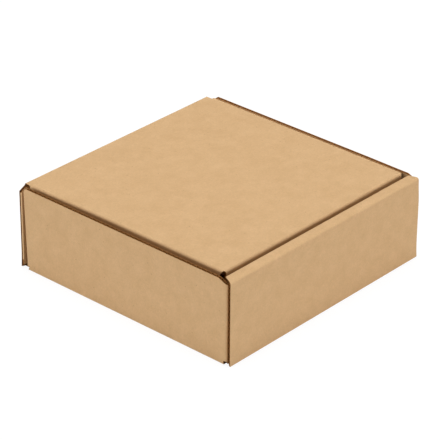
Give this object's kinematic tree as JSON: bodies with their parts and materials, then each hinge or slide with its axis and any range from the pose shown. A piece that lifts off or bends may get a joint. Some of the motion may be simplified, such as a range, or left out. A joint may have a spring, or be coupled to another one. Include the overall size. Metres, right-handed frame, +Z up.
{
  "type": "folded cardboard mailing box with tuck-in lid",
  "caption": "Square, low mailing box folded from one sheet of corrugated kraft board, with a rolled-over front wall and a hinged lid whose flaps tuck inside.",
  "frame": {"origin": "centre of the underside, on the surface the box stands on", "axes": "+X to the right along the hinge, +Y from the rolled-over front wall to the hinge, +Z up"},
  "size_m": [0.152, 0.15, 0.049],
  "materials": {
    "kraft_board": "matte"
  },
  "bodies": {
    "tray": {"tray": "kraft_board"},
    "lid": {"lid": "kraft_board"}
  },
  "joints": [
    {"name": "lid_hinge", "type": "hinge", "parent": "tray", "child": "lid", "pos_m": [0, 0.0741, 0.0481], "axis": [-1, 0, 0], "range_deg": [0, 120]}
  ]
}
